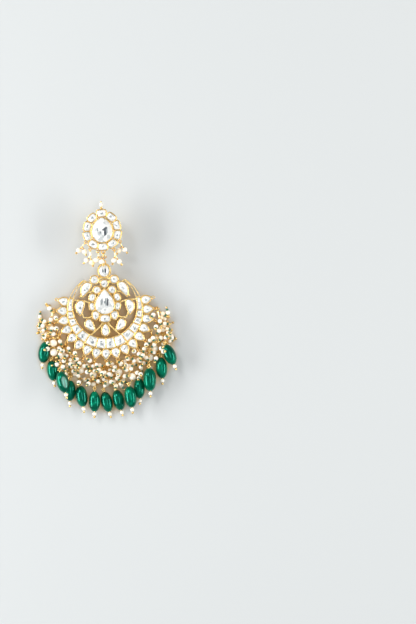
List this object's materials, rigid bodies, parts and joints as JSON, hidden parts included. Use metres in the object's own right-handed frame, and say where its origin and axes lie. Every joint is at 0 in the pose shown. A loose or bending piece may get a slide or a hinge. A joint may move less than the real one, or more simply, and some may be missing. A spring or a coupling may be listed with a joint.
{
  "type": "chandbali earring",
  "caption": "Crescent drop earring: foil-backed clear stones set in gold, fringed with pearl clusters and green oval beads, lying face up",
  "frame": {"origin": "middle of the bounding box at the surface the earring lies on", "axes": "+Z away from that surface, out of the earring's face; +Y along the earring towards the ear; +X to the right as its face is seen"},
  "size_m": [0.065, 0.0998, 0.015],
  "materials": {
    "gold": "polished gold plating, slightly uneven from hand work",
    "set_stone": "clear cut stone over bright foil, opaque at its back",
    "pearl": "cream pearl lustre",
    "green_bead": "polished, slightly translucent deep green"
  },
  "bodies": {
    "root": {"ear_post": "gold", "stud_setting": "gold", "stud_centre_stone": "set_stone", "stud_petal_stones": "set_stone", "finial_pearl": "pearl", "stud_cluster_wires": "gold", "stud_cluster_pearls": "pearl", "neck_links": "gold", "pendant_setting": "gold", "neck_stone": "set_stone", "shoulder_stones": "set_stone", "flower_centre_stone": "set_stone", "flower_petal_stones": "set_stone", "mango_stones": "set_stone", "keel_stone": "set_stone", "crescent_stones": "set_stone", "pear_stones": "set_stone", "side_wires": "gold", "side_pearls": "pearl", "strand_wire_01": "gold", "strand_wire_02": "gold", "strand_wire_03": "gold", "strand_wire_04": "gold", "strand_wire_05": "gold", "strand_wire_06": "gold", "strand_wire_07": "gold", "strand_wire_08": "gold", "strand_wire_09": "gold", "strand_wire_10": "gold", "strand_wire_11": "gold", "strand_wire_12": "gold", "strand_wire_13": "gold", "strand_pearls_01": "pearl", "strand_pearls_02": "pearl", "strand_pearls_03": "pearl", "strand_pearls_04": "pearl", "strand_pearls_05": "pearl", "strand_pearls_06": "pearl", "strand_pearls_07": "pearl", "strand_pearls_08": "pearl", "strand_pearls_09": "pearl", "strand_pearls_10": "pearl", "strand_pearls_11": "pearl", "strand_pearls_12": "pearl", "strand_pearls_13": "pearl", "drop_bead_01": "green_bead", "drop_bead_02": "green_bead", "drop_bead_03": "green_bead", "drop_bead_04": "green_bead", "drop_bead_05": "green_bead", "drop_bead_06": "green_bead", "drop_bead_07": "green_bead", "drop_bead_08": "green_bead", "drop_bead_09": "green_bead", "drop_bead_10": "green_bead", "drop_bead_11": "green_bead", "drop_bead_12": "green_bead", "drop_bead_13": "green_bead"}
  },
  "joints": []
}
